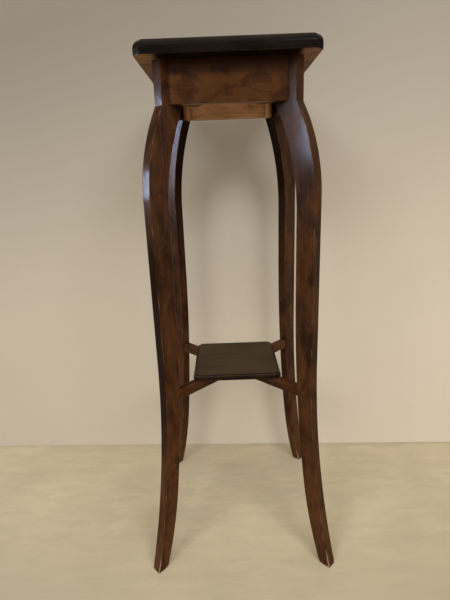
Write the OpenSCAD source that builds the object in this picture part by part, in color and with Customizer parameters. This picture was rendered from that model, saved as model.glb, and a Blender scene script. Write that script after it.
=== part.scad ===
// A tall plant stand: a small square top, four curved legs standing on the
// diagonals, deep aprons between them and a shelf on crossed rails.
// Millimetres, +Z up, front towards -Y. The origin is on the floor, under
// the middle of the top.

/* [Overall] */
// Height from the floor to the upper face of the top
stand_h = 960; // [800:5:1160]

/* [Top] */
// Side of the square top
top_w = 286; // [250:1:350]
// Thickness of the top
top_t = 23; // [18:0.5:30]
// Length taken off each side at a canted corner of the top
top_cant = 11; // [3:0.5:25]
// Radius along the upper edge of the top
top_edge_r = 13; // [2:0.5:16]

/* [Legs] */
// Thickness of the board that a leg is sawn from
leg_t = 20; // [16:0.5:26]
// How far a leg's head stands out past the corner made by the two aprons
head_proud = 3.5; // [0:0.5:14]
// Width of that head, outer face to inner face
head_w = 42; // [34:1:52]
// Height of the straight block that it forms, under the top
head_h = 66; // [50:1:84]
// Middle of the stand to the outermost point of the knee
knee_reach = 197.5; // [180:0.5:240]
// Radius of the outside of the knee
knee_r = 305; // [240:5:400]
// Radius of the inside of the knee
knee_inner_r = 374; // [300:2:460]
// Width of the straight shin
shin_w = 36.5; // [30:0.5:44]
// Height at which the outer edge starts to sweep out to the toe
sweep_h = 428; // [340:2:500]
// Middle of the stand to the toe
toe_reach = 251; // [225:1:300]
// Length of the straight stretch of the shin's inner edge, below the knee
shin_straight = 141; // [20:1:240]
// Height at which the inner edge turns out more tightly
ankle_h = 184; // [120:2:240]
// Width of the leg at that height
ankle_w = 30.5; // [26:0.5:36]
// Width of the foot on the floor
foot_w = 24; // [18:0.5:30]

/* [Aprons] */
// Depth of the aprons
apron_h = 64; // [56:1:80]
// Thickness of the aprons
apron_t = 15; // [12:0.5:20]
// Middle of the stand to the outer face of an apron
apron_reach = 110; // [92:1:132]

/* [Shelf] */
// Height of the upper face of the shelf
shelf_z = 384; // [330:2:500]
// Side of the square shelf
shelf_w = 174; // [140:1:205]
// Thickness of the shelf
shelf_t = 11; // [10:0.5:16]
// Length taken off each side at a canted corner of the shelf
shelf_cant = 10; // [3:0.5:20]
// Radius along the upper edge of the shelf
shelf_edge_r = 6; // [1:0.5:9]

/* [Crossed rails] */
// Depth of the rails under the shelf
rail_h = 19.5; // [14:0.5:26]
// Thickness of the rails
rail_t = 15; // [12:0.5:20]

/* [Joinery] */
// Diameter of the dowels
dowel_d = 8; // [6:0.5:9]
// Length of the dowels
dowel_l = 28; // [20:1:32]
// Height from an apron's edge to the nearest dowel in the front and back aprons
dowel_edge = 10; // [7:0.5:12]
// Height from that dowel to the nearest one in the side aprons
dowel_stagger = 12; // [10:0.5:14]
// Height of the corner blocks under the top
corner_h = 40; // [30:1:50]
// Depth of the corner blocks, from the leg towards the middle
corner_d = 20; // [16:1:30]
// Rise of the sloping lower end of a corner block
corner_slope_h = 6; // [2:0.5:10]
// Width of the level part of that end, beside the leg
corner_level = 6; // [3:0.5:12]
// Diameter of the screws
screw_d = 4.5; // [3.5:0.5:5]
// Length by which the screws reach into the top
top_bite = 14; // [9:1:16]
// Length by which the screws reach into the shelf
shelf_bite = 7; // [5:0.5:8]
// Middle of the stand to a shelf screw
shelf_screw_reach = 48; // [30:1:60]

/* [Hidden] */

// Turns about Z: a leg is drawn reaching out along +X, an apron facing -Y
FRONT_LEFT = 225;
FRONT_RIGHT = 315;
BACK_RIGHT = 45;
BACK_LEFT = 135;
DIAGONALS = [FRONT_LEFT, FRONT_RIGHT, BACK_RIGHT, BACK_LEFT];
FRONT = 0;
RIGHT = 90;
BACK = 180;
LEFT = 270;
SIDES = [FRONT, RIGHT, BACK, LEFT];

// Clearances
glue_gap = 0.2;     // curved shoulder of a rail to its leg
lap_gap = 0.1;      // each cheek of the crossing joint
dowel_gap = 0.1;    // round a dowel
dowel_end_gap = 1;  // past each end of a dowel
pilot_gap = 0.1;    // round a screw in the piece that it bites into
shank_gap = 0.3;    // round a screw in the piece that it passes through
overcut = 1;        // run-out of a cut past the face that it opens
edge_arris = 0.2;   // how far a rounding's circle stands past the faces

// Heights and reaches that follow from the sizes above
head_z = stand_h - top_t;
block_z = head_z - head_h;
apron_z = head_z - apron_h;
head_reach = apron_reach * sqrt(2) + head_proud;
head_in = head_reach - head_w;
shin_in = knee_reach - shin_w;
heel_reach = toe_reach - foot_w;
apron_in = apron_reach - apron_t;
apron_mid = apron_reach - apron_t / 2;
rail_top = shelf_z - shelf_t;
rail_z = rail_top - rail_h;
rail_mid = rail_z + rail_h / 2;

// Drop from the end of a knee curve of radius r to where it runs upright
function knee_drop(r, run) = sqrt(r * r - (r - run) * (r - run));
// Radius of a curve that leaves the upright and moves out by run over height h
function sweep_radius(h, run) = (h * h + run * run) / (2 * run);
// How far such a curve has moved out, at a height drop below its start
function sweep_run(r, drop) = r - sqrt(r * r - drop * drop);

knee_z = block_z - knee_drop(knee_r, knee_reach - head_reach);
knee_inner_z = block_z - knee_drop(knee_inner_r, shin_in - head_in);
calf_z = knee_inner_z - shin_straight;
sweep_r = sweep_radius(sweep_h, toe_reach - knee_reach);

// The inner edge below the shin is two arcs that meet smoothly at the ankle
ankle_in = knee_reach + sweep_run(sweep_r, sweep_h - ankle_h) - ankle_w;
calf_r = sweep_radius(calf_z - ankle_h, ankle_in - shin_in);
ankle_slope = asin((calf_z - ankle_h) / calf_r);
heel_chord = norm([heel_reach - ankle_in, ankle_h]);
heel_turn = atan((heel_reach - ankle_in) / ankle_h) - ankle_slope;
heel_r = heel_chord / (2 * sin(heel_turn));

// Reach of a leg's inner edge where a rail meets it
function inner_reach(z) =
    z < calf_z ? shin_in + sweep_run(calf_r, calf_z - z) : shin_in;
rail_joint = inner_reach(rail_mid);

// Screws: head, shank and point
screw_r = screw_d / 2;
screw_head_r = screw_d * 0.95;
screw_head_l = screw_head_r - screw_r;
screw_point_l = screw_d;
corner_screw_reach = head_in - corner_d / 2;
corner_z = head_z - corner_h;
top_screw_l = corner_h - corner_slope_h + top_bite;
shelf_screw_l = rail_h + shelf_bite;
head_recess = corner_slope_h + overcut;

// Steps that keep a circle within a twentieth of a millimetre of round
sagitta = 0.05;
function steps(r) = 4 * ceil(max(24, 180 / acos(1 - sagitta / r)) / 4);

leg_colour = "#4a2a1c";
apron_colour = "#6b4326";
top_colour = "#2c1b16";
shelf_colour = "#3a2a20";
inner_colour = "#8a6a45";
dowel_colour = "#c9a876";
screw_colour = "#8d8a80";

// ---- Leg -----------------------------------------------------------------

module disc(x, y, r) {
    translate([x, y]) circle(r, $fn = steps(r));
}

// Everything from the middle of the stand out to a leg's outer edge.
// x is the reach from the middle, y the height above the floor.
module within_outer_edge() {
    square([head_reach, head_z]);
    square([knee_reach, knee_z]);
    intersection() {
        disc(knee_reach - knee_r, knee_z, knee_r);
        translate([0, knee_z]) square([knee_reach, head_z - knee_z]);
    }
    difference() {
        translate([knee_reach, 0])
            square([toe_reach - knee_reach + overcut, sweep_h]);
        disc(knee_reach + sweep_r, sweep_h, sweep_r);
    }
}

// Everything from the middle of the stand out to a leg's inner edge
module within_inner_edge() {
    square([head_in, head_z]);
    square([shin_in, knee_inner_z]);
    intersection() {
        disc(shin_in - knee_inner_r, knee_inner_z, knee_inner_r);
        translate([0, knee_inner_z]) square([shin_in, head_z - knee_inner_z]);
    }
    difference() {
        translate([shin_in, ankle_h])
            square([ankle_in - shin_in + overcut, calf_z - ankle_h]);
        disc(shin_in + calf_r, calf_z, calf_r);
    }
    difference() {
        translate([shin_in, 0])
            square([heel_reach - shin_in + overcut, ankle_h]);
        disc(ankle_in + heel_r * cos(ankle_slope),
             ankle_h + heel_r * sin(ankle_slope), heel_r);
    }
}

module leg_outline() {
    difference() {
        within_outer_edge();
        within_inner_edge();
    }
}

// Stands an outline drawn as reach and height up in the plane of a diagonal
module upright(thickness) {
    rotate([90, 0, 0]) linear_extrude(thickness, center = true) children();
}

module leg(diagonal) {
    color(leg_colour)
    difference() {
        rotate(diagonal) upright(leg_t) leg_outline();
        rotate(diagonal) rail_dowel(dowel_gap, dowel_end_gap);
        for (side = [diagonal + 45, diagonal + 135])
            apron_dowels_on(side % 360, dowel_gap, dowel_end_gap);
    }
}

// ---- Dowels --------------------------------------------------------------

// A dowel along Z about its middle, or its hole when the gaps are given
module dowel(gap = 0, end_gap = 0) {
    cylinder(h = dowel_l + 2 * end_gap, d = dowel_d + 2 * gap,
             center = true, $fn = 48);
}

// The two dowels of a joint are further apart at the front and back than at
// the sides, so that they pass each other inside a leg
function dowel_heights(side) =
    let (margin = dowel_edge + (side % 180 == 0 ? 0 : dowel_stagger))
    [apron_z + margin, head_z - margin];

module apron_dowels_on(side, gap = 0, end_gap = 0) {
    joint_x = apron_mid - leg_t / sqrt(2);
    rotate(side)
    for (end = [-1, 1], z = dowel_heights(side))
        translate([end * joint_x, -apron_mid, z])
            rotate([0, 90, 0]) dowel(gap, end_gap);
}

module apron_dowels() {
    color(dowel_colour)
    for (side = SIDES) apron_dowels_on(side);
}

module rail_dowel(gap = 0, end_gap = 0) {
    translate([rail_joint, 0, rail_mid]) rotate([0, 90, 0]) dowel(gap, end_gap);
}

module rail_dowels() {
    color(dowel_colour)
    for (diagonal = DIAGONALS) rotate(diagonal) rail_dowel();
}

// ---- Aprons and corner blocks --------------------------------------------

// The ends are mitred to lie flat on the side of a leg
module apron(side) {
    outer_half = apron_reach - leg_t / sqrt(2);
    inner_half = apron_in - leg_t / sqrt(2);
    color(apron_colour)
    difference() {
        rotate(side) translate([0, 0, apron_z]) linear_extrude(apron_h)
            polygon([[-outer_half, -apron_reach], [outer_half, -apron_reach],
                     [inner_half, -apron_in], [-inner_half, -apron_in]]);
        apron_dowels_on(side, dowel_gap, dowel_end_gap);
    }
}

// Fills the corner between two aprons, up against the inner edge of a leg.
// Its lower end is level beside the leg and slopes up towards the middle.
module corner_block(diagonal) {
    apron_corner = apron_in * sqrt(2);
    inner_face = head_in - corner_d;
    color(inner_colour)
    rotate(diagonal) difference() {
        intersection() {
            upright(2 * apron_corner)
                polygon([[head_in, corner_z], [head_in, head_z],
                         [inner_face, head_z],
                         [inner_face, corner_z + corner_slope_h],
                         [head_in - corner_level, corner_z]]);
            linear_extrude(stand_h)
                polygon([[apron_corner, 0], [0, apron_corner],
                         [0, -apron_corner]]);
        }
        at_top_screw() screw_hole(top_screw_l, shank_gap);
    }
}

// ---- Screws --------------------------------------------------------------

// A countersunk screw that points up, the face of its head at the origin
module screw(length) {
    rotate_extrude($fn = 48)
        polygon([[0, 0], [screw_head_r, 0], [screw_r, screw_head_l],
                 [screw_r, length - screw_point_l], [0, length]]);
}

// The hole for it, which is open below the head and runs on past the point
module screw_hole(length, gap) {
    rotate_extrude($fn = 48)
        polygon([[0, -head_recess], [screw_head_r + gap, -head_recess],
                 [screw_head_r + gap, 0], [screw_r + gap, screw_head_l],
                 [screw_r + gap, length - screw_point_l + overcut],
                 [0, length + overcut]]);
}

module at_top_screw() {
    translate([corner_screw_reach, 0, corner_z + corner_slope_h]) children();
}

module top_screws() {
    color(screw_colour)
    for (diagonal = DIAGONALS) rotate(diagonal) at_top_screw() screw(top_screw_l);
}

module at_shelf_screw() {
    translate([shelf_screw_reach, 0, rail_z]) children();
}

module shelf_screws() {
    color(screw_colour)
    for (diagonal = DIAGONALS)
        rotate(diagonal) at_shelf_screw() screw(shelf_screw_l);
}

// ---- Top and shelf -------------------------------------------------------

// The wood planed off the upper edge of a board. The edge lies along Y,
// reach away from the middle. The curve meets both faces at a faint arris.
module edge_waste(reach, thickness, edge_r, length) {
    translate([reach - edge_r, length / 2, thickness - edge_r])
        rotate([90, 0, 0]) linear_extrude(length)
        difference() {
            square(edge_r + overcut);
            disc(edge_arris, edge_arris, edge_r);
        }
}

// A square board with canted corners and one rounding run all the way round
module canted_board(width, thickness, cant, edge_r) {
    half = width / 2;
    half_across_cants = (width - cant) / sqrt(2);
    difference() {
        linear_extrude(thickness)
            polygon([[half - cant, -half], [half, cant - half],
                     [half, half - cant], [half - cant, half],
                     [cant - half, half], [-half, half - cant],
                     [-half, cant - half], [cant - half, -half]]);
        for (turn = [0 : 45 : 315])
            rotate(turn)
                edge_waste(turn % 90 == 0 ? half : half_across_cants,
                           thickness, edge_r, width);
    }
}

module top_board() {
    color(top_colour)
    difference() {
        translate([0, 0, head_z]) canted_board(top_w, top_t, top_cant, top_edge_r);
        for (diagonal = DIAGONALS)
            rotate(diagonal) at_top_screw() screw_hole(top_screw_l, pilot_gap);
    }
}

module shelf() {
    color(shelf_colour)
    difference() {
        translate([0, 0, rail_top])
            canted_board(shelf_w, shelf_t, shelf_cant, shelf_edge_r);
        for (diagonal = DIAGONALS)
            rotate(diagonal) at_shelf_screw() screw_hole(shelf_screw_l, pilot_gap);
    }
}

// ---- Crossed rails -------------------------------------------------------

// A rail from leg to leg through the middle, its ends shaped to the legs.
// lap_z is the lower face of the notch where the other rail crosses it.
module rail(diagonal, lap_z) {
    color(leg_colour)
    difference() {
        rotate(diagonal) upright(rail_t) difference() {
            translate([-knee_reach, rail_z]) square([2 * knee_reach, rail_h]);
            for (end = [0, 1]) mirror([end, 0]) translate([-glue_gap, 0]) {
                leg_outline();
                translate([knee_reach - shin_w / 2, rail_z - overcut])
                    square([shin_w, rail_h + 2 * overcut]);
            }
        }
        translate([0, 0, lap_z + (rail_h / 2 + overcut) / 2])
            rotate(diagonal)
            cube([rail_t + 2 * lap_gap, rail_t + 2 * overcut, rail_h / 2 + overcut],
                 center = true);
        for (end = [0, 180]) rotate(diagonal + end) {
            rail_dowel(dowel_gap, dowel_end_gap);
            at_shelf_screw() screw_hole(shelf_screw_l, shank_gap);
        }
    }
}

module rail_from_front_left() {
    rail(FRONT_LEFT, rail_mid);
}

module rail_from_front_right() {
    rail(FRONT_RIGHT, rail_z - overcut);
}

top_board();
leg(FRONT_LEFT);  // leg_front_left
leg(FRONT_RIGHT);  // leg_front_right
leg(BACK_RIGHT);  // leg_back_right
leg(BACK_LEFT);  // leg_back_left
apron(FRONT);  // apron_front
apron(RIGHT);  // apron_right
apron(BACK);  // apron_back
apron(LEFT);  // apron_left
corner_block(FRONT_LEFT);  // corner_block_front_left
corner_block(FRONT_RIGHT);  // corner_block_front_right
corner_block(BACK_RIGHT);  // corner_block_back_right
corner_block(BACK_LEFT);  // corner_block_back_left
shelf();
rail_from_front_left();
rail_from_front_right();
apron_dowels();
rail_dowels();
top_screws();
shelf_screws();
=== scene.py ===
"""Builds the finish of a tall plant stand round its CAD frame, in metres."""

from math import asin, atan, atan2, cos, hypot, pi, radians, sin, sqrt

import bmesh
import bpy
from bpy.props import FloatProperty, FloatVectorProperty, PointerProperty
from mathutils import Matrix, Vector


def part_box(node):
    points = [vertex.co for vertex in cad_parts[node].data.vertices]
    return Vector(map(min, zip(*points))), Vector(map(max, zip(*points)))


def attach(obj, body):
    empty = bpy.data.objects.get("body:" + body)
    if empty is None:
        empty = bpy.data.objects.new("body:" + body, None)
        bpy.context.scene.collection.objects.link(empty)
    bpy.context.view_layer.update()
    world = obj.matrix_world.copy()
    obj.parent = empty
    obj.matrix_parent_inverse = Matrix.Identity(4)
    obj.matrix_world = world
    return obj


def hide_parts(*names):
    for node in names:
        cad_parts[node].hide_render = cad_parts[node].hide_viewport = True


bl_info = {
    "name": "Plant Stand",
    "version": (1, 0, 0),
    "blender": (4, 5, 0),
    "location": "3D View > Sidebar > Plant Stand",
    "description": "Legs, aprons, top, shelf and rails of a tall plant stand",
    "category": "Object",
}

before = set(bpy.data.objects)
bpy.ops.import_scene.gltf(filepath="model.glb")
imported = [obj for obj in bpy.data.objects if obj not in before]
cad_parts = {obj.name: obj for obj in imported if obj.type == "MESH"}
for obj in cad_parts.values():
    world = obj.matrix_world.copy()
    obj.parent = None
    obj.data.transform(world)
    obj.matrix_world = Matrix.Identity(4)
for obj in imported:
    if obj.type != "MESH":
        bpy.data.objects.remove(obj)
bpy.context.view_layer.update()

# Turns about Z of the four legs, and of the four aprons, in radians
DIAGONALS = {
    "front_left": radians(225),
    "front_right": radians(315),
    "back_right": radians(45),
    "back_left": radians(135),
}
SIDES = {"front": 0.0, "right": radians(90), "back": radians(180), "left": radians(270)}
QUARTER = pi / 2

# Room round a screw in its hole, and the radius of its head by its diameter
CLEARANCE = 0.0003
HEAD_SHARE = 0.95


def size_of(node):
    low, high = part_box(node)
    return high - low


# ---- Settings ----


def number(name, description, default, **kind):
    return FloatProperty(name=name, description=description, default=default, **kind)


def length(name, description, default):
    return number(
        name, description, default,
        min=0, precision=4, subtype="DISTANCE", unit="LENGTH",
    )


def angle(name, description, degrees):
    return number(
        name, description, radians(degrees), subtype="ANGLE", unit="ROTATION"
    )


def power(name, description, watts):
    return number(name, description, watts, min=0, unit="POWER")


def colour(name, description, default):
    return FloatVectorProperty(
        name=name, description=description, default=default, min=0, max=1,
        size=3, subtype="COLOR",
    )


class StandSizes(bpy.types.PropertyGroup):
    """Sizes of the stand"""

    top_w: length("Top width", "Side of the square top", size_of("top_board").x)
    top_t: length("Top thickness", "Thickness of the top", size_of("top_board").z)
    top_cant: length("Top cant", "Length taken off each side at a canted corner", 0.011)
    top_edge_r: length("Top edge radius", "Rounding along the upper edge", 0.013)
    leg_t: length("Leg thickness", "Board that a leg is sawn from", 0.020)
    head_proud: length("Head stands out", "Past the corner of the aprons", 0.0035)
    head_w: length("Head width", "Outer to inner face of a leg's head", 0.042)
    head_h: length("Head height", "Straight block under the top", 0.066)
    knee_reach: length("Knee reach", "Middle of the stand to the knee", 0.1975)
    knee_r: length("Knee radius", "Outside of the knee", 0.305)
    knee_inner_r: length("Inner knee radius", "Inside of the knee", 0.374)
    shin_w: length("Shin width", "Width of the straight shin", 0.0365)
    shin_straight: length("Straight shin", "Straight stretch of its inner edge", 0.141)
    sweep_h: length("Sweep height", "Where the outer edge starts to turn out", 0.428)
    toe_reach: length("Toe reach", "Middle of the stand to a toe", 0.251)
    ankle_h: length("Ankle height", "Where the inner edge turns more tightly", 0.184)
    ankle_w: length("Ankle width", "Width of the leg at the ankle", 0.0305)
    foot_w: length("Foot width", "Width of the foot on the floor", 0.024)
    apron_t: length("Apron thickness", "Thickness of the aprons", 0.015)
    shelf_cant: length("Shelf cant", "Length taken off at a canted corner", 0.010)
    shelf_edge_r: length("Shelf edge radius", "Rounding along the upper edge", 0.006)
    rail_t: length("Rail thickness", "Thickness of the crossed rails", 0.015)
    corner_d: length("Corner block depth", "From the leg towards the middle", 0.020)
    corner_slope_h: length("Corner block slope", "Rise of its lower end", 0.006)
    corner_level: length("Corner block level", "Level part beside the leg", 0.006)
    screw_d: length("Screw diameter", "Shank of the screws", 0.0045)
    shelf_screw_reach: length("Shelf screw reach", "Middle to a shelf screw", 0.048)
    arris_r: length("Eased arris", "Rounding worn on every sharp corner", 0.0012)
    glue_gap: length("Glue gap", "Shoulder of a rail to its leg", 0.0002)


class StandFinishes(bpy.types.PropertyGroup):
    """Colours of the stand"""

    leg_dark: colour("Leg, dark", "Dark streaks of legs", (0.022, 0.0070, 0.0025))
    leg_light: colour("Leg, light", "Light streaks of legs", (0.104, 0.0390, 0.0135))
    apron_dark: colour("Apron, dark", "Dark figure", (0.028, 0.009, 0.003))
    apron_light: colour("Apron, light", "Light ground", (0.098, 0.035, 0.0102))
    top_dark: colour("Top, dark", "Dark streaks", (0.0030, 0.0018, 0.0010))
    top_light: colour("Top, light", "Light streaks", (0.0110, 0.0055, 0.0033))
    shelf_dark: colour("Shelf, dark", "Dark streaks, above", (0.045, 0.0275, 0.0148))
    shelf_light: colour("Shelf, light", "Light streaks, above", (0.069, 0.0420, 0.0215))
    shelf_edge_dark: colour("Shelf edge, dark", "Streaks", (0.010, 0.005, 0.003))
    shelf_edge_light: colour("Shelf edge, light", "Streaks", (0.024, 0.012, 0.006))
    bare_dark: colour("Bare wood, dark", "Unpolished wood", (0.100, 0.050, 0.024))
    bare_light: colour("Bare wood, light", "Unpolished wood", (0.300, 0.155, 0.075))
    inner_dark: colour("Inner faces, dark", "Inside of aprons", (0.330, 0.155, 0.070))
    inner_light: colour("Inner faces, light", "Inside of aprons", (0.820, 0.470, 0.270))
    worn: colour("Worn wood", "Where the polish is rubbed off", (0.240, 0.120, 0.055))
    dowel: colour("Dowels", "Pale dowel wood", (0.480, 0.310, 0.160))
    steel: colour("Screws", "Dulled steel", (0.260, 0.245, 0.220))


class StudioSettings(bpy.types.PropertyGroup):
    """Floor, wall, lamps and camera"""

    floor: colour("Floor", "Colour of the floor", (0.740, 0.600, 0.385))
    wall: colour("Wall", "Colour of the wall", (0.636, 0.534, 0.408))
    wall_y: length("Wall distance", "Middle of the stand to the wall", 0.2325)
    wall_turn: angle("Wall turn", "Turn of the wall about Z", -2.42)
    left: power("Left light", "Cool panel in front on the left", 47)
    right: power("Right light", "Cool panel in front on the right", 55)
    front: power("Front light", "Panel behind the camera", 25)
    ceiling: power("Ceiling light", "Panel overhead", 24)
    side: power("Side light", "Blue panes on the left", 62)
    sky: number("Ambient", "Light from all round", 0.16)
    camera_at: FloatVectorProperty(
        name="Camera", description="Place of the camera", size=3,
        default=(-0.0151, -0.8455, 0.7614), subtype="XYZ", unit="LENGTH",
    )
    yaw: angle("Yaw", "Turn to the left", 0.266)
    pitch: angle("Pitch", "Tilt downwards", 16.363)
    roll: angle("Roll", "Horizontals rise to the right", 2.145)
    lens: number("Lens", "Focal length in mm for a 36 mm long side", 25.44)


def chosen(context):
    """The sizes and the finishes that are set for the stand"""
    return context.scene.stand_sizes, context.scene.stand_finishes


# ---- Node trees ----


def maths(operation, swapped=False):
    """A method of Value that adds a Math node"""

    def method(self, *others):
        operands = (*others, self) if swapped else (self, *others)
        return self.tree.add("ShaderNodeMath", {"operation": operation}, operands)

    return method


class Value:
    """A socket in a node tree. Arithmetic on it adds Math nodes."""

    def __init__(self, tree, socket):
        self.tree = tree
        self.socket = socket

    __add__, __radd__ = maths("ADD"), maths("ADD", swapped=True)
    __sub__, __rsub__ = maths("SUBTRACT"), maths("SUBTRACT", swapped=True)
    __mul__, __rmul__ = maths("MULTIPLY"), maths("MULTIPLY", swapped=True)
    __truediv__, __rtruediv__ = maths("DIVIDE"), maths("DIVIDE", swapped=True)
    __abs__ = maths("ABSOLUTE")
    at_least, at_most = maths("MAXIMUM"), maths("MINIMUM")
    root, sign = maths("SQRT"), maths("SIGN")
    sine, cosine = maths("SINE"), maths("COSINE")

    def step(self, low, high):
        """0 below low, 1 above high, smooth between"""
        settings = {"interpolation_type": "SMOOTHSTEP"}
        return self.tree.add("ShaderNodeMapRange", settings, (self, low, high))


class Tree:
    """A shader or geometry tree that nodes are added to"""

    def __init__(self, tree):
        self.tree = tree
        tree.nodes.clear()

    def add(self, kind, settings=None, inputs=(), output=0, **named):
        """Adds a node: its settings first, then its sockets' values or links.

        Sockets come in order, by number or by name, with _ for each space. A
        list holds the values that one socket joins.
        """
        node = self.tree.nodes.new(kind)
        for name, setting in (settings or {}).items():
            if name == "capture_items":
                for item, item_kind in setting.items():
                    node.capture_items.new(item_kind, item)
            else:
                setattr(node, name, setting)
        sockets = inputs if isinstance(inputs, dict) else dict(enumerate(inputs))
        for name, values in {**sockets, **named}.items():
            socket = node.inputs[name.replace("_", " ") if name in named else name]
            for value in values if isinstance(values, list) else [values]:
                if isinstance(value, Value):
                    self.tree.links.new(value.socket, socket)
                elif socket.type == "RGBA" and not isinstance(value, (int, float)):
                    socket.default_value = (*value, 1)
                else:
                    socket.default_value = value
        return Value(self, node.outputs[output]) if node.outputs else node

    def outputs(self, value, names):
        """These outputs of the node that a value comes from"""
        return [Value(self, value.socket.node.outputs[name]) for name in names]

    def vector(self, x, y, z):
        return self.add("ShaderNodeCombineXYZ", {}, (x, y, z))

    def parts(self, vector):
        return self.outputs(self.add("ShaderNodeSeparateXYZ", {}, (vector,)), range(3))


class GeometryTree(Tree):
    """A geometry tree whose named inputs are numbers"""

    def __init__(self, name, names):
        group = bpy.data.node_groups.new(name, "GeometryNodeTree")
        group.is_modifier = True
        sockets = [(label, "INPUT", "NodeSocketFloat") for label in names]
        sockets.append(("Geometry", "OUTPUT", "NodeSocketGeometry"))
        for label, in_out, kind in sockets:
            group.interface.new_socket(label, in_out=in_out, socket_type=kind)
        super().__init__(group)
        self.size = dict(zip(names, self.outputs(self.add("NodeGroupInput"), names)))

    def finish(self, geometry, material):
        """Ends the tree in plain geometry of one material."""
        plain = self.add("GeometryNodeRealizeInstances", Geometry=geometry)
        plain = self.add("GeometryNodeSetMaterial", Geometry=plain, Material=material)
        self.add("NodeGroupOutput", Geometry=plain)
        return self.tree


class ShaderTree(Tree):
    """The tree of one material"""

    def __init__(self, name):
        self.material = bpy.data.materials.new(name)
        self.material.use_nodes = True
        super().__init__(self.material.node_tree)

    def place(self):
        return self.add("ShaderNodeTexCoord", output="Object")

    def attribute(self, name, output="Fac"):
        return self.add("ShaderNodeAttribute", {"attribute_name": name}, output=output)

    def mix(self, factor, first, second):
        inputs = {0: factor, 6: first, 7: second}
        return self.add("ShaderNodeMix", {"data_type": "RGBA"}, inputs, output=2)

    def noise(self, vector, scale, detail=3.0, rough=0.5, distortion=0.0):
        """Noise of one scale, or of a scale for each axis"""
        if isinstance(scale, tuple):
            multiply = {"operation": "MULTIPLY"}
            vector = self.add("ShaderNodeVectorMath", multiply, (vector, scale))
            scale = 1.0
        return self.add(
            "ShaderNodeTexNoise", Vector=vector, Scale=scale, Detail=detail,
            Roughness=rough, Distortion=distortion,
        )

    def bump(self, height, strength, distance):
        return self.add(
            "ShaderNodeBump", Strength=strength, Distance=distance, Height=height
        )

    def finish(self, **inputs):
        """Ends the tree in a Principled shader with these inputs."""
        shader = self.add("ShaderNodeBsdfPrincipled", **inputs)
        self.add("ShaderNodeOutputMaterial", Surface=shader)
        return self.material


# ---- Materials ----

# Noises in the wood: their scales across, through and along the grain, then
# detail, roughness and distortion
SWAY = ((6.0, 6.0, 5.0), 1.0)
STREAKS = ((420.0, 420.0, 9.0), 4.0, 0.62)
BANDS = ((95.0, 95.0, 3.2), 2.0)
BLOTCHES = ((32.0, 32.0, 14.0), 4.0, 0.62, 0.5)
PORES = ((1500.0, 1500.0, 90.0), 2.0)
CURLS = ((36.0, 36.0, 24.0), 3.0, 0.5, 0.3)
RUBS = ((160.0, 160.0, 30.0), 4.0, 0.65)

# Widths of a rubbed arris: the least, what patches add, and what the toes add
RUB_LEAST, RUB_PATCH, RUB_TOE = 0.0006, 0.006, 0.0018
# Width of the dirt beside a joint, and of the soft end of bare wood and of wear
DIRT, FADE = 0.006, 0.003
# Heights between which a leg's wood gets darker, and its polish shinier
DARKER, SHINIER = (0.08, 0.44), (0.25, 0.65)
# Heights between which the wear of its lower part ends, and that of its toe
LOWER, TOE = (0.03, 0.26), (0.012, 0.055)


def scaled(tint, factor):
    return tuple(c * factor for c in tint)


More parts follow.
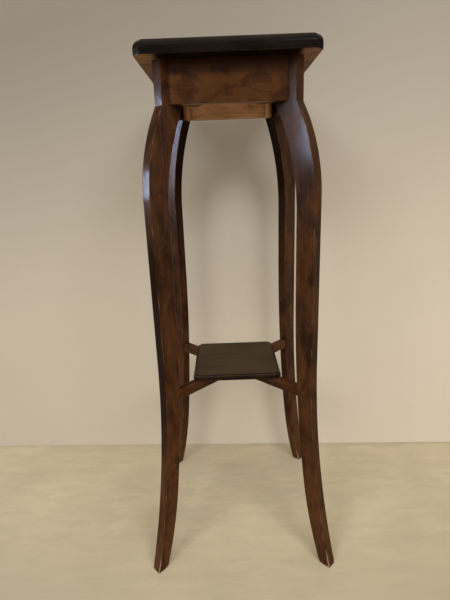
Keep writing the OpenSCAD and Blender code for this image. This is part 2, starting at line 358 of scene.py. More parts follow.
def wood(name, dark, light, *, gloss, coat, shine, seed, worn=None, wear=0.0,
         foot_wear=0.0, figure=0.0, raw=None, under=None, shade_under_top=None,
         capped=None, joint=None):
    """Wood whose grain follows the attribute 'grain': across, through, along.

    The attribute 'rim' is the distance from the nearest arris, where the
    polish is rubbed through to the worn colour, most of all at worn feet. The
    attribute 'raw' is 1 on faces without polish, which take the two raw
    colours. From the reach 'under' outwards at the front they keep the dark
    polished colour, a painted shade on the underside in front of the aprons.
    Between the two rims given for the shade under the top, the colour darkens:
    a painted shade under the overhang of the top. On boards with feet, a stored
    attribute of stain and shade darkens it: painted shade on the inner edges and
    in the nook under the aprons, and a real darker stain on the outer edge of the
    first leg. No wear reaches the height 'capped'. Dirt darkens the wood beside
    the joints at the corners, at the reach 'joint'.
    """
    tree = ShaderTree(name)
    shift = (seed, 2 * seed, 0.3)
    grain = tree.attribute("grain", "Vector")
    grain = tree.add("ShaderNodeVectorMath", {"operation": "ADD"}, (grain, shift))
    # Slow waves bend the grain a little on its way along the board
    sway = tree.noise(grain, *SWAY) - 0.5
    across, through, along = tree.parts(grain)
    bent = tree.vector(across + sway * 0.012, through + sway * 0.008, along)
    streaks = tree.noise(bent, *STREAKS)
    blotch = tree.noise(grain, *BLOTCHES)
    pores = tree.noise(bent, *PORES)
    tone = streaks * 0.18 + tree.noise(bent, *BANDS) * 0.20 + blotch * 0.68
    shade = tone.step(0.38, 0.71)
    side, depth, height = tree.parts(tree.place())
    rim = tree.attribute("rim")
    if figure:
        curls = tree.noise(grain, *CURLS).step(0.40, 0.55)
        shade = shade * (1 - figure) + curls * figure
    # Painted shade: the upper part darkens under the overhang of the top
    if shade_under_top:
        shade = shade * (1 - rim.step(*shade_under_top) * 0.9)
    if foot_wear:
        shade = (shade + (1 - height.step(*DARKER)) * 0.35).at_most(1)
    tint = tree.mix(shade, dark, light)
    tint = tree.mix((1 - pores.step(0.30, 0.42)) * 0.35, tint, dark)
    clear = coat
    if foot_wear:
        # Painted shade on the inner edges and in the nook under the aprons, and a real
        # darker stain on the first leg's outer edge
        stain = tree.attribute("stain") * 0.85
        # The polish has kept its shine above the shins, apart from blotches
        kept = height.step(*SHINIER) * (1.2 - blotch.step(0.44, 0.58))
        clear = (0.4 + kept) * coat * (1 - stain * 0.6)
    elif joint:
        corner = abs(side).at_most(abs(depth))
        stain = corner.step(joint - DIRT, joint) * 0.7
    if foot_wear or joint:
        tint = tree.mix(stain, tint, scaled(dark, 0.4))
    rough = gloss + (streaks - 0.5) * 0.12 + (blotch - 0.5) * 0.24
    if raw:
        bare = tree.attribute("raw").step(0.45, 0.85)
        # Painted shade: in front of the aprons the underside keeps the dark polished
        # colour
        if under:
            front = 1 - depth.step(-under, FADE - under)
            front = front * (1 - abs(side).step(under - 0.004, under + 0.008))
            bare = bare * (1 - front)
        tint = tree.mix(bare, tint, tree.mix(tone.step(0.35, 0.65), *raw))
        rough = rough + bare * 0.25
        clear = (1 - bare) * clear
    if wear:
        lower = (1 - height.step(*LOWER)) * foot_wear
        toe = (1 - height.step(*TOE)) * foot_wear
        patches = (tree.noise(grain, *RUBS) - 0.5 + lower * 0.1).at_least(0)
        reach = RUB_LEAST + patches * RUB_PATCH + toe * RUB_TOE
        thin = (1 - (rim / reach).step(0.4, 1.1)) * (wear + lower * 0.4 + toe)
        if capped:
            thin = thin * (1 - height.step(capped - 0.008, capped - FADE))
        bleached = tuple(c**0.5 for c in worn)
        tint = tree.mix(thin.at_most(0.9), tint, tree.mix(toe, worn, bleached))
        rough = rough + thin * 0.2
    return tree.finish(
        Base_Color=tint, Roughness=rough.at_least(0.14).at_most(0.9),
        Normal=tree.bump(streaks * 0.6 + pores * 0.4, 0.20, 0.0004),
        Coat_Weight=clear, Coat_Roughness=0.13, Specular_IOR_Level=shine,
    )


def leg_finish(tints):
    """The finish that the legs and the crossed rails share"""
    return bpy.data.materials.get("leg_finish") or wood(
        "leg_finish", tints.leg_dark, tints.leg_light, gloss=0.20, coat=0.13,
        shine=0.03, seed=2.1, worn=tints.worn, wear=0.5, foot_wear=0.5,
        raw=(tints.inner_dark, tints.inner_light), capped=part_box("top_board")[0].z,
    )


def steel(name, base):
    """Old screw steel: turned rings, dull patches and a little rust"""
    tree = ShaderTree(name)
    place = tree.place()
    patches = tree.noise(place, 900.0, 4.0, 0.6)
    rust = patches.step(0.52, 0.66)
    return tree.finish(
        Base_Color=tree.mix(rust * 0.7, base, (0.085, 0.038, 0.018)),
        Metallic=1 - rust * 0.6, Roughness=0.38 + patches * 0.3,
        Normal=tree.bump(tree.noise(place, 5200.0, 2.0), 0.3, 0.0002),
    )


# ---- Meshes ----


def finish_piece(obj, material, slot, *nodes):
    """Gives a piece its one material and its place on the frame. The record slot is not
    used.
    """
    obj.data.materials.clear()
    obj.data.materials.append(material)
    obj.data.polygons.foreach_set("material_index", [0] * len(obj.data.polygons))
    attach(obj, "root")
    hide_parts(*nodes)


def new_object(name, data):
    obj = bpy.data.objects.new(name, data)
    bpy.context.scene.collection.objects.link(obj)
    return obj


def plain_mesh(name, points, faces):
    mesh = bpy.data.meshes.new(name)
    mesh.from_pydata([tuple(p) for p in points], [], faces)
    return mesh


def mesh_from(name, points, faces):
    """A mesh without doubled points, whose faces point outwards"""
    mesh = plain_mesh(name, points, faces)
    shape = bmesh.new()
    shape.from_mesh(mesh)
    bmesh.ops.remove_doubles(shape, verts=shape.verts, dist=1e-7)
    bmesh.ops.recalc_face_normals(shape, faces=shape.faces)
    shape.to_mesh(mesh)
    shape.free()
    return mesh


def apply_modifiers(obj):
    """Turns a piece with modifiers into a plain mesh."""
    graph = bpy.context.evaluated_depsgraph_get()
    mesh = bpy.data.meshes.new_from_object(obj.evaluated_get(graph))
    mesh.name = obj.name
    obj.modifiers.clear()
    obj.data = mesh
    return obj


def grow(name, group, values):
    """The plain object that a geometry tree makes of these input values"""
    obj = new_object(name, bpy.data.meshes.new(name))
    modifier = obj.modifiers.new(group.name, "NODES")
    modifier.node_group = group
    for item in group.interface.items_tree:
        if item.in_out == "INPUT":
            modifier[item.identifier] = values[item.name]
    return apply_modifiers(obj)


def cut_away(obj, name, rings):
    """Cuts the solid within these rings out of a piece."""
    cutter = solid(name, rings)
    cut = obj.modifiers.new(name, "BOOLEAN")
    cut.operation = "DIFFERENCE"
    cut.solver = "EXACT"
    cut.object = cutter
    apply_modifiers(obj)
    bpy.data.objects.remove(cutter)


def smooth_faces(obj):
    """Smooths the eased arrises, keeps the large faces flat and creases crisp."""
    obj.data.polygons.foreach_set("use_smooth", [True] * len(obj.data.polygons))
    obj.data.set_sharp_from_angle(angle=radians(25))
    weighted = obj.modifiers.new("Flat faces", "WEIGHTED_NORMAL")
    weighted.mode = "FACE_AREA"
    weighted.weight = 50
    weighted.keep_sharp = True
    return apply_modifiers(obj)


def set_grain(mesh, axes, board, turn=0.0):
    """Stores the place of each point across, through and along its board.

    The axes are named in that order, as they lie before the board's turn
    about Z. Each board's number moves it to another part of the grain.
    """
    layer = mesh.attributes.new("grain", "FLOAT_VECTOR", "POINT")
    unit = dict(zip("xyz", Matrix.Identity(3)))
    axes = Matrix(turned([unit[axis] for axis in axes], turn))
    shift = Vector((0.31, 0.17, 1.7)) * board
    for point, value in zip(mesh.vertices, layer.data):
        value.vector = axes @ point.co + shift


def store(mesh, name, measure):
    """Stores measure(point) of each point as an attribute."""
    layer = mesh.attributes.new(name, "FLOAT", "POINT")
    for point, value in zip(mesh.vertices, layer.data):
        value.value = measure(point.co)


def turned(points, turn):
    spin = Matrix.Rotation(turn, 3, "Z")
    return [spin @ p for p in points]


def arc(x, y, radius, start, turn, steps):
    """Points of an arc round x, y, from the angle start on through a turn"""
    angles = [start + k / steps * turn for k in range(steps + 1)]
    return [(x + radius * cos(a), y + radius * sin(a)) for a in angles]


def rings_to_mesh(name, rings):
    """Joins rings of as many points, each to the next, and closes both ends."""
    count = len(rings[0])
    points = [p for ring in rings for p in ring]
    faces = []
    for k in range(len(rings) - 1):
        for i in range(count):
            j = (i + 1) % count
            faces.append(
                (k * count + i, k * count + j, (k + 1) * count + j, (k + 1) * count + i)
            )
    faces.append(tuple(range(count - 1, -1, -1)))
    faces.append(tuple(range((len(rings) - 1) * count, len(rings) * count)))
    return mesh_from(name, points, faces)


def solid(name, rings):
    return new_object(name, rings_to_mesh(name, rings))


def loft(node, turn, steps, section, place):
    """A board turned about Z: its section placed at even shares, from -1 to 1"""
    rings = [
        turned([Vector(place(2 * k / steps - 1, *point)) for point in section], turn)
        for k in range(steps + 1)
    ]
    return solid(node + "_wood", rings)


def board_ring(width, cant, inset, height):
    """Outline of a canted square, moved inwards, with softened corners"""
    soft, eighth = 0.0018, pi / 4
    half = width / 2 - inset - soft
    reach = (width - cant) / sqrt(2) - inset - soft
    other = min(reach * sqrt(2) - half, half)
    corner = arc(half, other, soft, 0.0, eighth, 4)
    corner += arc(other, half, soft, eighth, eighth, 4)
    ring = []
    for _ in range(4):
        ring += [Vector((x, y, height)) for x, y in corner]
        corner = [(-y, x) for x, y in corner]
    return ring


# ---- Legs ----


def leg_measures(sizes):
    """Heights, reaches and radii of a leg that follow from its sizes"""
    head_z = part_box("top_board")[0].z
    block_z = head_z - sizes.head_h
    apron_reach = -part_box("apron_front")[0].y
    head_reach = apron_reach * sqrt(2) + sizes.head_proud
    head_in = head_reach - sizes.head_w
    shin_in = sizes.knee_reach - sizes.shin_w

    def drop(r, run):
        return sqrt(r * r - (r - run) ** 2)

    def radius(height, run):
        return (height * height + run * run) / (2 * run)

    knee_z = block_z - drop(sizes.knee_r, sizes.knee_reach - head_reach)
    knee_inner_z = block_z - drop(sizes.knee_inner_r, shin_in - head_in)
    calf_z = knee_inner_z - sizes.shin_straight
    sweep_r = radius(sizes.sweep_h, sizes.toe_reach - sizes.knee_reach)
    ankle_out = sizes.knee_reach + sweep_r - sqrt(
        sweep_r**2 - (sizes.sweep_h - sizes.ankle_h) ** 2
    )
    ankle_in = ankle_out - sizes.ankle_w
    calf_r = radius(calf_z - sizes.ankle_h, ankle_in - shin_in)
    slope = asin((calf_z - sizes.ankle_h) / calf_r)
    heel_run = sizes.toe_reach - sizes.foot_w - ankle_in
    turn = atan(heel_run / sizes.ankle_h) - slope
    heel_r = hypot(heel_run, sizes.ankle_h) / (2 * sin(turn))
    return {
        "Head Height": head_z, "Block Height": block_z,
        "Head Reach": head_reach, "Head Inside": head_in,
        "Knee Reach": sizes.knee_reach, "Knee Height": knee_z,
        "Knee Radius": sizes.knee_r, "Shin Inside": shin_in,
        "Inner Knee Height": knee_inner_z, "Inner Knee Radius": sizes.knee_inner_r,
        "Calf Height": calf_z, "Calf Radius": calf_r,
        "Ankle Height": sizes.ankle_h, "Ankle Inside": ankle_in,
        "Heel Centre Reach": ankle_in + heel_r * cos(slope),
        "Heel Centre Height": sizes.ankle_h + heel_r * sin(slope),
        "Heel Radius": heel_r, "Sweep Height": sizes.sweep_h,
        "Sweep Radius": sweep_r, "Thickness": sizes.leg_t,
        "Arris Radius": sizes.arris_r,
    }


def leg_tree(material, measures):
    """Geometry tree of a leg: a bar whose two edges follow the sawn curves"""
    tree = GeometryTree("Sawn Leg", [*measures, "Turn", "Board Number"])
    size = tree.size
    arris, thick, block_z = (
        size[name] for name in ("Arris Radius", "Thickness", "Block Height")
    )
    board = size["Board Number"]

    # Heights of the stations: the eased foot, the curves, then the block
    foot, curve, block = 4, 190, 14
    index = tree.add("GeometryNodeInputIndex")
    height = (
        (index / foot).at_most(1) * arris
        + ((index - foot) / curve).at_least(0).at_most(1) * (block_z - arris)
        + ((index - foot - curve) / block).at_least(0) * (size["Head Height"] - block_z)
    )
    line = tree.add("GeometryNodeMeshLine", Count=foot + curve + block + 1)
    upright = tree.vector(0.0, 0.0, height)
    line = tree.add("GeometryNodeSetPosition", Geometry=line, Position=upright)
    path = tree.add("GeometryNodeMeshToCurve", Mesh=line)

    # The section: a rectangle with eased corners and a point midway on each side
    nominal, hair = 0.03, 0.0001
    section = tree.add(
        "GeometryNodeCurvePrimitiveQuadrilateral", Width=nominal, Height=thick
    )
    section = tree.add(
        "GeometryNodeFilletCurve", {"mode": "POLY"},
        Curve=section, Radius=arris, Count=3,
    )
    section = tree.add("GeometryNodeSubdivideCurve", Curve=section, Cuts=1)
    section = tree.add(
        "GeometryNodeCaptureAttribute",
        {"domain": "POINT", "capture_items": {"Section": "VECTOR"}},
        Geometry=section, Section=tree.add("GeometryNodeInputPosition"),
    )
    bar = tree.add(
        "GeometryNodeCurveToMesh", Curve=path, Profile_Curve=section, Fill_Caps=True
    )
    width_at, through, _ = tree.parts(tree.outputs(section, ["Section"])[0])
    z = tree.parts(tree.add("GeometryNodeInputPosition"))[2]

    def run(radius, drop):
        """How far an arc has moved sideways, a drop past its upright start"""
        drop = drop.at_least(0)
        return radius - (radius * radius - drop * drop).at_least(0).root()

    outer = (
        size["Knee Reach"]
        - run(size["Knee Radius"], z - size["Knee Height"])
        + run(size["Sweep Radius"], size["Sweep Height"] - z)
    ).at_least(size["Head Reach"])
    ankle_z, heel_r = size["Ankle Height"], size["Heel Radius"]
    below = size["Heel Centre Height"] - z.at_most(ankle_z)
    inner = (
        size["Shin Inside"]
        - run(size["Inner Knee Radius"], z - size["Inner Knee Height"])
        + run(size["Calf Radius"], size["Calf Height"] - z.at_least(ankle_z))
        + size["Heel Centre Reach"]
        - (heel_r * heel_r - below * below).root()
        - size["Ankle Inside"]
    ).at_least(size["Head Inside"])
    half = (outer - inner) / 2
    side = width_at.sign()
    from_side = nominal / 2 - abs(width_at)
    eased = run(arris, arris - z)
    reach = (outer + inner) / 2 + side * (half - from_side - eased)
    across = through - through.sign() * eased

    grain = tree.vector(reach + board * 0.31, across + board * 0.17, z + board * 1.7)
    from_middle = half * (1 - abs(side)) + from_side * abs(side)
    rim = (from_middle + thick / 2 - abs(through)).at_most((z + 0.0005).at_least(0))
    # Painted shade darkens the inner edges, more so towards the aprons, and old
    # polish is darker on the outer edge of the first leg between its knee and its foot
    inside = (hair - nominal / 2 - width_at).sign().at_least(0)
    outside = (width_at + hair - nominal / 2).sign().at_least(0)
    first = (1.5 - board).sign().at_least(0)
    stain = (
        inside * z.step(0.42, 0.76)
        + outside * first * z.step(0.16, 0.36) * (1 - z.step(0.62, 0.74))
    )
    # Painted shade darkens the nook under the aprons
    nook = (z - block_z).step(-0.026, -0.008)
    nook = nook * (1 - (reach - size["Head Inside"]).step(0.014, 0.034))
    # The inner faces of the two back heads, the third and the fourth, are
    # without polish, with painted shade towards the side aprons
    beside = (board - 3.5) * 2 * through / thick + 0.5
    raw = (
        inside * (board - 2.5).sign().at_least(0)
        * (z + hair - block_z).sign().at_least(0) * (0.92 - beside * 0.42)
    )
    for name, kind, value in (
        ("grain", "FLOAT_VECTOR", grain), ("rim", "FLOAT", rim),
        ("stain", "FLOAT", stain.at_least(nook * 0.9)), ("raw", "FLOAT", raw),
    ):
        bar = tree.add(
            "GeometryNodeStoreNamedAttribute", {"data_type": kind, "domain": "POINT"},
            Geometry=bar, Name=name, Value=value,
        )

    turn_sin, turn_cos = size["Turn"].sine(), size["Turn"].cosine()
    place = tree.vector(
        reach * turn_cos - across * turn_sin, reach * turn_sin + across * turn_cos, z
    )
    bar = tree.add("GeometryNodeSetPosition", Geometry=bar, Position=place)
    return tree.finish(bar, material)


class PLANTSTAND_OT_legs(bpy.types.Operator):
    """Saws the four curved legs"""

    bl_idname = "plant_stand.legs"
    bl_label = "Legs"

    def execute(self, context):
        sizes, tints = chosen(context)
        material, measures = leg_finish(tints), leg_measures(sizes)
        group = leg_tree(material, measures)
        for board, (name, turn) in enumerate(DIAGONALS.items(), 1):
            node = "leg_" + name
            values = {**measures, "Turn": turn, "Board Number": float(board)}
            obj = smooth_faces(grow(node + "_wood", group, values))
            finish_piece(obj, material, "leg_polish", node)
        return {"FINISHED"}


# ---- Aprons and corner blocks ----


class PLANTSTAND_OT_aprons(bpy.types.Operator):
    """Makes the four mitred aprons between the legs"""

    bl_idname = "plant_stand.aprons"
    bl_label = "Aprons"

    def execute(self, context):
        sizes, tints = chosen(context)
        low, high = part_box("apron_front")
        reach, bottom, top = -low.y, low.z, high.z
        inner, middle, eased = reach - sizes.apron_t, (bottom + top) / 2, sizes.arris_r
        beside_leg = sizes.leg_t / sqrt(2)
        # Their upper part is darkened as a painted shade under the overhang of the top
        material = wood(
            "apron_finish", tints.apron_dark, tints.apron_light, gloss=0.24, coat=0.04,
            shine=0.05, seed=7.7, worn=tints.worn, wear=0.25, figure=0.6,
            raw=(tints.inner_dark, tints.inner_light), shade_under_top=(0.036, 0.060),
            capped=top, joint=reach - beside_leg,
        )
        # The section, out from the middle: eased along both lower arrises
        section = (
            arc(reach - eased, bottom + eased, eased, -QUARTER, QUARTER, 4)
            + [(reach, middle), (reach, top), (inner, top), (inner, middle)]
            + arc(inner + eased, bottom + eased, eased, pi, QUARTER, 4)
        )
        for board, (name, turn) in enumerate(SIDES.items(), 5):
            node = "apron_" + name
            obj = loft(node, turn, 24, section, lambda share, out, z: (
                share * (out - beside_leg), -out, z
            ))
            set_grain(obj.data, "zyx", board, turn)
            store(obj.data, "rim", lambda p: p.z - bottom)
            # Only the back one shows its inner face, which is without polish
            plain = float(name == "back") / sizes.apron_t
            store(obj.data, "raw", lambda p: plain * (reach - p.y))
            smooth_faces(obj)
            finish_piece(obj, material, "apron_polish", node)
        return {"FINISHED"}


class PLANTSTAND_OT_corner_blocks(bpy.types.Operator):
    """Makes the four blocks glued in the corners behind the aprons"""

    bl_idname = "plant_stand.corner_blocks"
    bl_label = "Corner blocks"

    def execute(self, context):
        sizes, tints = chosen(context)
        bottom, top = (p.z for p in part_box("corner_block_front_left"))
        outer = leg_measures(sizes)["Head Inside"]
        inner = outer - sizes.corner_d
        corner = (-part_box("apron_front")[0].y - sizes.apron_t) * sqrt(2)
        material = wood(
            "corner_finish", tints.bare_dark, tints.bare_light, gloss=0.60, coat=0.02,
            shine=0.14, seed=0.9,
        )
        slope_z = bottom + sizes.corner_slope_h
        section = [
            (outer, bottom), (outer, top), (inner, top), (inner, slope_z),
            (outer - sizes.corner_level, bottom),
        ]
        for board, (name, turn) in enumerate(DIAGONALS.items(), 11):
            node = "corner_block_" + name
            obj = loft(node, turn, 2, section, lambda share, reach, z: (
                reach, share * (corner - reach), z
            ))
            bevel = obj.modifiers.new("Eased arrises", "BEVEL")
            bevel.width = sizes.arris_r * 0.5
            bevel.segments = 2
            bevel.limit_method = "ANGLE"
            bevel.angle_limit = radians(30)
            apply_modifiers(obj)
            middle = turned([Vector((outer - sizes.corner_d / 2, 0, slope_z))], turn)[0]
            cut_away(obj, "hole", screw_hole(middle, sizes.screw_d))
            set_grain(obj.data, "xzy", board, turn)
            smooth_faces(obj)
            finish_piece(obj, material, "bare_wood", node)
        return {"FINISHED"}


def screw_hole(face, diameter):
    """Rings of the hole of a countersunk screw whose head lies at face"""
    shank = diameter / 2 + CLEARANCE
    head = diameter * HEAD_SHARE + CLEARANCE
    profile = [(head, -0.02), (head, 0.0), (shank, head - shank), (shank, 0.06)]
    return [
        [face + Vector((x, y, z)) for x, y in arc(0, 0, r, 0, 2 * pi, 32)[:-1]]
        for r, z in profile
    ]


# ---- Top and shelf ----


def board_rim(base_z, thickness, edge_r, width, cant):
    """Distance along a board's surface from its rounding or its lower arris"""
    level = 1e-5

    def outside(p):
        reach = (width - cant) / sqrt(2)
        return min(
            width / 2 - abs(p.x), width / 2 - abs(p.y),
            reach - (abs(p.x) + abs(p.y)) / sqrt(2),
        )

    def distance(p):
        inset, up = outside(p), p.z - base_z
        shoulder = hypot(max(edge_r - inset, 0), max(up - thickness + edge_r, 0))
        if shoulder > edge_r * 0.97 and 0 < inset < edge_r and up > thickness - edge_r:
            slope = atan2(up - thickness + edge_r, edge_r - inset)
            return abs(slope - pi / 4) * edge_r
        above = thickness - edge_r - up
        if up > thickness - level:
            above = max(inset - edge_r, 0)
        above += edge_r * pi / 4
        below = inset if up < level else up
        return max(min(above, below), 0)

    return distance


def square_board(node, width, thickness, cant, edge_r, arris_r, board):
    """A board with canted corners, rounded above and eased below"""
    base_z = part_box(node)[0].z
    profile = [(inset, 0.0) for inset in (0.045, 0.015, 0.006)]
    profile += arc(arris_r, arris_r, arris_r, -QUARTER, -QUARTER, 3)
    profile.append((0.0, (arris_r + thickness - edge_r) / 2))
    profile += arc(edge_r, thickness - edge_r, edge_r, pi, -QUARTER, 12)
    profile += [(edge_r + run, thickness) for run in (0.003, 0.009, 0.030)]
    rings = [board_ring(width, cant, inset, base_z + z) for inset, z in profile]
    obj = solid(node + "_wood", rings)
    set_grain(obj.data, "yzx", board)
    store(obj.data, "rim", board_rim(base_z, thickness, edge_r, width, cant))
    return obj


class PLANTSTAND_OT_top_board(bpy.types.Operator):
    """Makes the top with its rounded edge and canted corners"""

    bl_idname = "plant_stand.top_board"
    bl_label = "Top"

    def execute(self, context):
        sizes, tints = chosen(context)
        obj = square_board(
            "top_board", sizes.top_w, sizes.top_t, sizes.top_cant, sizes.top_edge_r,
            sizes.arris_r, 17,
        )
        raw_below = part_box("top_board")[0].z + sizes.arris_r / 4
        store(obj.data, "raw", lambda p: float(p.z < raw_below))
        # The underside in front of the front apron gets a painted shade, the dark
        # polished colour
        material = wood(
            "top_finish", tints.top_dark, tints.top_light, gloss=0.24, coat=0.04,
            shine=0.04, seed=1.3, worn=tints.worn, wear=0.08,
            raw=(tints.bare_dark, tints.bare_light), under=-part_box("apron_front")[0].y,
        )
        smooth_faces(obj)
        finish_piece(obj, material, "top_polish", "top_board")
        return {"FINISHED"}


class PLANTSTAND_OT_shelf(bpy.types.Operator):
    """Makes the shelf with its rounded edge and canted corners"""

    bl_idname = "plant_stand.shelf"
    bl_label = "Shelf"

    def execute(self, context):
        sizes, tints = chosen(context)
        low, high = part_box("shelf")
        obj = square_board(
            "shelf", high.x - low.x, high.z - low.z, sizes.shelf_cant,
            sizes.shelf_edge_r, sizes.arris_r, 19,
        )
        # The upper face has lost its polish and takes the two shelf colours
        raw_above = high.z - 0.0001
        store(obj.data, "raw", lambda p: float(p.z > raw_above))
        material = wood(
            "shelf_finish", tints.shelf_edge_dark, tints.shelf_edge_light, gloss=0.30,
            coat=0.03, shine=0.05, seed=1.9, worn=tints.worn, wear=0.2,
            raw=(tints.shelf_dark, tints.shelf_light),
        )
        smooth_faces(obj)
        finish_piece(obj, material, "shelf_polish", "shelf")
        return {"FINISHED"}


# ---- Crossed rails ----


class PLANTSTAND_OT_rails(bpy.types.Operator):
    """Makes the two rails that cross under the shelf"""

    bl_idname = "plant_stand.rails"
    bl_label = "Crossed rails"

    def execute(self, context):
        sizes, tints = chosen(context)
        material, measures = leg_finish(tints), leg_measures(sizes)
        low, high = (p.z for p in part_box("rail_from_front_left"))
        half, middle, eased = sizes.rail_t / 2, (low + high) / 2, sizes.arris_r

        def end_reach(z):
            """Reach of the leg's inner edge, which the rail's end is scribed to"""
            radius = measures["Calf Radius"]
            run = radius - sqrt(radius**2 - (measures["Calf Height"] - z) ** 2)
            return measures["Shin Inside"] + run - sizes.glue_gap

        # The section: four eased arrises, each with the middle of the next side
        section = []
        for corner, (y, z, midway) in enumerate((
            (half - eased, high - eased, (0, high)),
            (eased - half, high - eased, (-half, middle)),
            (eased - half, low + eased, (0, low)),
            (half - eased, low + eased, (half, middle)),
        )):
            section += arc(y, z, eased, corner * QUARTER, QUARTER, 3) + [midway]
        pair = ("front_left", "front_right")
        for number, name in enumerate(pair):
            node, turn = "rail_from_" + name, DIAGONALS[name]
            obj = loft(node, turn, 32, section, lambda share, y, z: (
                share * end_reach(z), y, z
            ))
            other = DIAGONALS[pair[1 - number]]
            cut_away(obj, "notch", halving(other, number, low, high, half))
            set_grain(obj.data, "zyx", number + 23, turn)
            back = Matrix.Rotation(-turn, 3, "Z")
            store(obj.data, "rim", lambda p: (
                half - abs((back @ p).y) + min(p.z - low, high - p.z)
            ))
            smooth_faces(obj)
            finish_piece(obj, material, "leg_polish", node)
        return {"FINISHED"}


def halving(turn, lower, low, high, half):
    """Rings of the notch for the other rail, which crosses at this turn"""
    side_gap, level_gap, past, long = 0.0001, 0.00005, 0.01, 0.02
    middle, half = (low + high) / 2, half + side_gap
    heights = (middle - level_gap, high + past)
    if lower:
        heights = (low - past, middle + level_gap)
    corners = ((-long, -half), (long, -half), (long, half), (-long, half))
    return [turned([Vector((x, y, z)) for x, y in corners], turn) for z in heights]


# ---- Dowels and screws ----


class PLANTSTAND_OT_dowels(bpy.types.Operator):
    """Gives the dowels inside the joints their wood"""

    bl_idname = "plant_stand.dowels"
    bl_label = "Dowels"

    def execute(self, context):
        tint = context.scene.stand_finishes.dowel
        tree = ShaderTree("dowel_finish")
        place = tree.place()
        fibres = tree.noise(place, (900.0, 900.0, 900.0), 4.0, 0.6)
        rings = tree.noise(place, 160.0, 2.0)
        material = tree.finish(
            Base_Color=tree.mix(fibres * 0.5 + rings * 0.3, tint, scaled(tint, 0.55)),
            Roughness=0.6 + fibres * 0.2, Normal=tree.bump(fibres, 0.3, 0.0003),
        )
        for node in ("apron_dowels", "rail_dowels"):
            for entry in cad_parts[node].material_slots:
                entry.material = material
        return {"FINISHED"}


def screw_tree(material):
    """Geometry tree of four slotted screws that point up, one on each diagonal"""
    tree = GeometryTree(
        "Slotted Screws", ("Reach", "Height", "Length", "Diameter", "Seed")
    )
    reach, height, long, wide, seed = tree.size.values()
    shank, head = wide / 2, wide * HEAD_SHARE
    head_l = head - shank

    def raised(geometry, by, turn=0.0):
        return tree.add(
            "GeometryNodeTransform", Geometry=geometry, Rotation=(0.0, 0.0, turn),
            Translation=tree.vector(0.0, 0.0, by),
        )

    def lathe(low, low_r, high_r, tall):
        cone = tree.add(
            "GeometryNodeMeshCone",
            Vertices=32, Radius_Bottom=low_r, Radius_Top=high_r, Depth=tall,
        )
        return raised(cone, low)

    # The point is as long as the screw is wide
    stem = long - head_l - wide
    slot = tree.vector(wide * 3, wide * 0.22, wide * 0.5)
    slotted = tree.add(
        "GeometryNodeMeshBoolean", {"operation": "DIFFERENCE", "solver": "EXACT"},
        Mesh_1=lathe(0.0, head, shank, head_l),
        Mesh_2=tree.add("GeometryNodeMeshCube", Size=slot),
    )
    parts = [
        slotted, lathe(head_l, shank, shank, stem),
        lathe(head_l + stem, shank, 0.0, wide),
    ]
    corners = tree.add("GeometryNodeMeshCircle", Vertices=4, Radius=reach)
    driven = tree.add(
        "FunctionNodeRandomValue", {"data_type": "FLOAT"}, {"Min": 0.0, "Max": pi},
        output=1, Seed=seed,
    )
    screws = tree.add(
        "GeometryNodeInstanceOnPoints", Points=raised(corners, height, pi / 4),
        Instance=tree.add("GeometryNodeJoinGeometry", Geometry=parts),
        Rotation=tree.vector(0.0, 0.0, driven),
    )
    return tree.finish(screws, material)


class PLANTSTAND_OT_screws(bpy.types.Operator):
    """Drives the slotted screws into the top and the shelf"""

    bl_idname = "plant_stand.screws"
    bl_label = "Screws"

    def execute(self, context):
        sizes, tints = chosen(context)
        material = steel("screw_finish", tints.steel)
        group = screw_tree(material)
        inside = leg_measures(sizes)["Head Inside"]
        for seed, node, reach in (
            (3.0, "top_screws", inside - sizes.corner_d / 2),
            (4.0, "shelf_screws", sizes.shelf_screw_reach),
        ):
            low, high = (p.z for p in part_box(node))
            obj = grow(node + "_steel", group, {
                "Reach": reach, "Height": low, "Length": high - low,
                "Diameter": sizes.screw_d, "Seed": seed,
            })
            finish_piece(obj, material, "screw_steel", node)
        return {"FINISHED"}


# ---- Studio ----


def seen(tree):
    """1 for camera, glossy and transmission rays"""
    names = ["Is %s Ray" % kind for kind in ("Camera", "Glossy", "Transmission")]
    camera, glossy, through = tree.outputs(tree.add("ShaderNodeLightPath"), names)
    return camera.at_least(glossy).at_least(through)


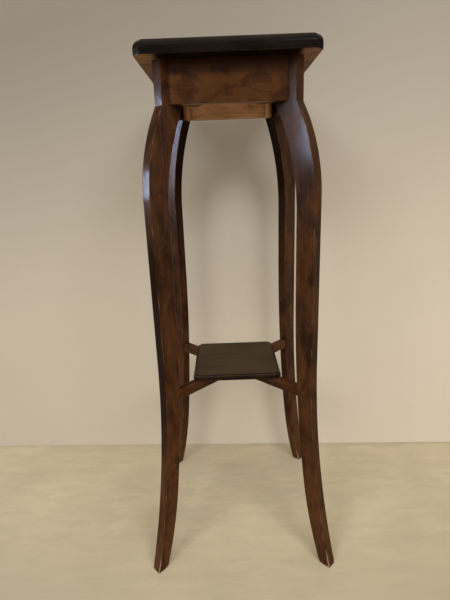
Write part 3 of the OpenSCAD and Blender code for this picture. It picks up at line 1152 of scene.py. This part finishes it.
class PLANTSTAND_OT_studio(bpy.types.Operator):
    """Sets up the floor, the wall, the lamps and the camera"""

    bl_idname = "plant_stand.studio"
    bl_label = "Studio"

    def execute(self, context):
        studio = context.scene.stand_studio
        self.add_floor(studio)
        self.add_wall(studio)
        self.add_lamps(studio)
        self.add_world(context.scene, studio)
        self.add_camera(context.scene, studio)
        context.scene.view_settings.view_transform = "Standard"
        return {"FINISHED"}

    def add_floor(self, studio):
        tree = ShaderTree("pale_floor")
        place = tree.place()
        side, depth, _ = tree.parts(place)
        broad = tree.noise(place, 5.0, 4.0, 0.6)
        scuffs = tree.noise(place, (9.0, 40.0, 1.0), 5.0, 0.65, 0.6)
        shade = (broad * 0.5 + scuffs * 0.5).step(0.30, 0.72)
        paint = tree.mix(shade, scaled(studio.floor, 0.80), studio.floor)
        # Painted shade: it darkens towards the camera, and further back at the sides
        near = (1 - depth.step(-0.45, -0.05)) * 0.8
        aside = abs(side).step(0.10, 0.42) * (1 - depth.step(-0.30, 0.05)) * 0.5
        paint = tree.mix((near + aside).at_most(1), paint, scaled(studio.floor, 0.74))
        material = tree.finish(Base_Color=paint, Roughness=0.55 + broad * 0.2)
        far = 4
        corners = [(-far, -far, 0), (far, -far, 0), (far, far, 0), (-far, far, 0)]
        floor = new_object("floor", mesh_from("floor", corners, [(0, 1, 2, 3)]))
        floor.data.materials.append(material)

    def add_wall(self, studio):
        tree = ShaderTree("pale_wall")
        place = tree.place()
        side, _, height = tree.parts(place)
        broad = tree.noise(place, 3.0, 3.0, 0.6)
        paint = tree.mix(broad, scaled(studio.wall, 0.92), studio.wall)
        # Painted shade: the wall darkens towards its top and its left end, as the light
        # falls off there
        dull = height.step(0.25, 1.35) * 0.86 + (1 - side.step(-0.8, 0.8)) * 0.30
        paint = tree.mix(dull, paint, scaled(studio.wall, 0.36))
        # A faint light of its own keeps the shadows on the wall soft
        shader = tree.add(
            "ShaderNodeBsdfPrincipled", Base_Color=paint, Roughness=0.8,
            Emission_Color=tree.mix(seen(tree), (0, 0, 0), paint),
            Emission_Strength=0.25,
        )
        # From behind, the wall is clear and darkens nothing
        clear = tree.add("ShaderNodeBsdfTransparent")
        behind = tree.add("ShaderNodeNewGeometry", output="Backfacing")
        shader = tree.add("ShaderNodeMixShader", {}, (behind, shader, clear))
        tree.add("ShaderNodeOutputMaterial", Surface=shader)
        far, foot = 3, 0.003
        corners = turned([
            Vector((x, studio.wall_y, z))
            for x, z in ((-far, foot), (far, foot), (far, far), (-far, far))
        ], studio.wall_turn)
        wall = new_object("wall", plain_mesh("wall", corners, [(0, 1, 2, 3)]))
        wall.data.materials.append(tree.material)
        # The floor on its far side is lit like the near side
        wall.visible_shadow = False

    def add_lamps(self, studio):
        """Adds the panels that light the stand, at their turns and rises in degrees."""
        middle = Vector((0, 0, 0.6))
        for name, turn, rise, far, size, watts, tint in (
            ("left", -31, 33.4, 4.0, (1.5, 0.8), studio.left, (0.84, 0.94, 1.0)),
            ("right", 25.6, 33.2, 4.0, (1.4, 0.8), studio.right, (0.81, 0.88, 1.0)),
            ("front", 0, 25, 3.5, (1.2, 1.6), studio.front, (1.0, 1.0, 0.96)),
        ):
            turn, rise = radians(turn), radians(rise)
            ray = Vector((sin(turn) * cos(rise), -cos(turn) * cos(rise), sin(rise)))
            lamp = self.add_panel(name, middle + ray * far, middle, size, watts, tint)
            # The panel behind the camera does not mirror in the polish
            lamp.visible_glossy = name != "front"
        self.add_panel(
            "ceiling", (0.0, -0.9, 2.8), (0, -0.4, 0), (3.0, 2.4), studio.ceiling,
            (1.0, 0.98, 0.95),
        )
        # Two panes on the left are there for their mirror in the polish alone
        for y, z, wide, high, share in (
            (0.40, 0.97, 0.64, 0.58, 0.61), (-0.74, 1.13, 0.18, 0.46, 0.26),
        ):
            pane = self.add_panel(
                "side", (-2.5, y, z), (0, y, z), (wide, high), studio.side * share,
                (0.62, 0.74, 1.0),
            )
            pane.visible_diffuse = False

    @staticmethod
    def add_panel(name, place, target, size, watts, tint):
        lamp = bpy.data.lights.new(name, "AREA")
        lamp.shape = "RECTANGLE"
        lamp.size, lamp.size_y = size
        lamp.energy = watts
        lamp.color = tint
        obj = new_object(name, lamp)
        obj.location = place
        obj.rotation_mode = "QUATERNION"
        aim = Vector(target) - Vector(place)
        obj.rotation_quaternion = aim.to_track_quat("-Z", "Y")
        return obj

    @staticmethod
    def add_world(scene, studio):
        """Adds the light from all round, which looks pale itself."""
        scene.world = bpy.data.worlds.new("soft_room")
        scene.world.use_nodes = True
        tree = Tree(scene.world.node_tree)
        tint = (0.66, 0.60, 0.52)
        ambient = tree.add("ShaderNodeBackground", Color=tint, Strength=studio.sky)
        pale = tree.add("ShaderNodeBackground", Color=tint, Strength=1.0)
        shader = tree.add("ShaderNodeMixShader", {}, (seen(tree), ambient, pale))
        tree.add("ShaderNodeOutputWorld", Surface=shader)

    @staticmethod
    def add_camera(scene, studio):
        data = bpy.data.cameras.new("camera")
        data.sensor_fit = "AUTO"
        data.sensor_width = 36
        data.lens = studio.lens
        data.clip_start = 0.02
        scene.camera = new_object("camera", data)
        turns = ((studio.yaw, "Z"), (QUARTER - studio.pitch, "X"), (-studio.roll, "Z"))
        place = Matrix.Translation(studio.camera_at)
        for turn, axis in turns:
            place = place @ Matrix.Rotation(turn, 4, axis)
        scene.camera.matrix_world = place


# ---- Add-on ----


class PLANTSTAND_PT_panel(bpy.types.Panel):
    """Lists the pieces of the stand"""

    bl_idname = "PLANTSTAND_PT_panel"
    bl_label = "Plant Stand"
    bl_space_type = "VIEW_3D"
    bl_region_type = "UI"
    bl_category = "Plant Stand"

    def draw(self, context):
        for operator in OPERATORS:
            self.layout.operator(operator.bl_idname)
        for group in GROUPS:
            box = self.layout.box()
            values = getattr(context.scene, group)
            for name in values.bl_rna.properties.keys():
                if name not in ("rna_type", "name"):
                    box.prop(values, name)


GROUPS = {
    "stand_sizes": StandSizes,
    "stand_finishes": StandFinishes,
    "stand_studio": StudioSettings,
}
OPERATORS = (
    PLANTSTAND_OT_legs,
    PLANTSTAND_OT_aprons,
    PLANTSTAND_OT_corner_blocks,
    PLANTSTAND_OT_top_board,
    PLANTSTAND_OT_shelf,
    PLANTSTAND_OT_rails,
    PLANTSTAND_OT_dowels,
    PLANTSTAND_OT_screws,
    PLANTSTAND_OT_studio,
)


def register():
    for name, group in GROUPS.items():
        bpy.utils.register_class(group)
        setattr(bpy.types.Scene, name, PointerProperty(type=group))
    for kind in (*OPERATORS, PLANTSTAND_PT_panel):
        bpy.utils.register_class(kind)


def unregister():
    for kind in (PLANTSTAND_PT_panel, *reversed(OPERATORS)):
        bpy.utils.unregister_class(kind)
    for name, group in GROUPS.items():
        delattr(bpy.types.Scene, name)
        bpy.utils.unregister_class(group)


def main():
    register()
    for operator in OPERATORS:
        area, name = operator.bl_idname.split(".")
        getattr(getattr(bpy.ops, area), name)()


if __name__ == "__main__":
    main()
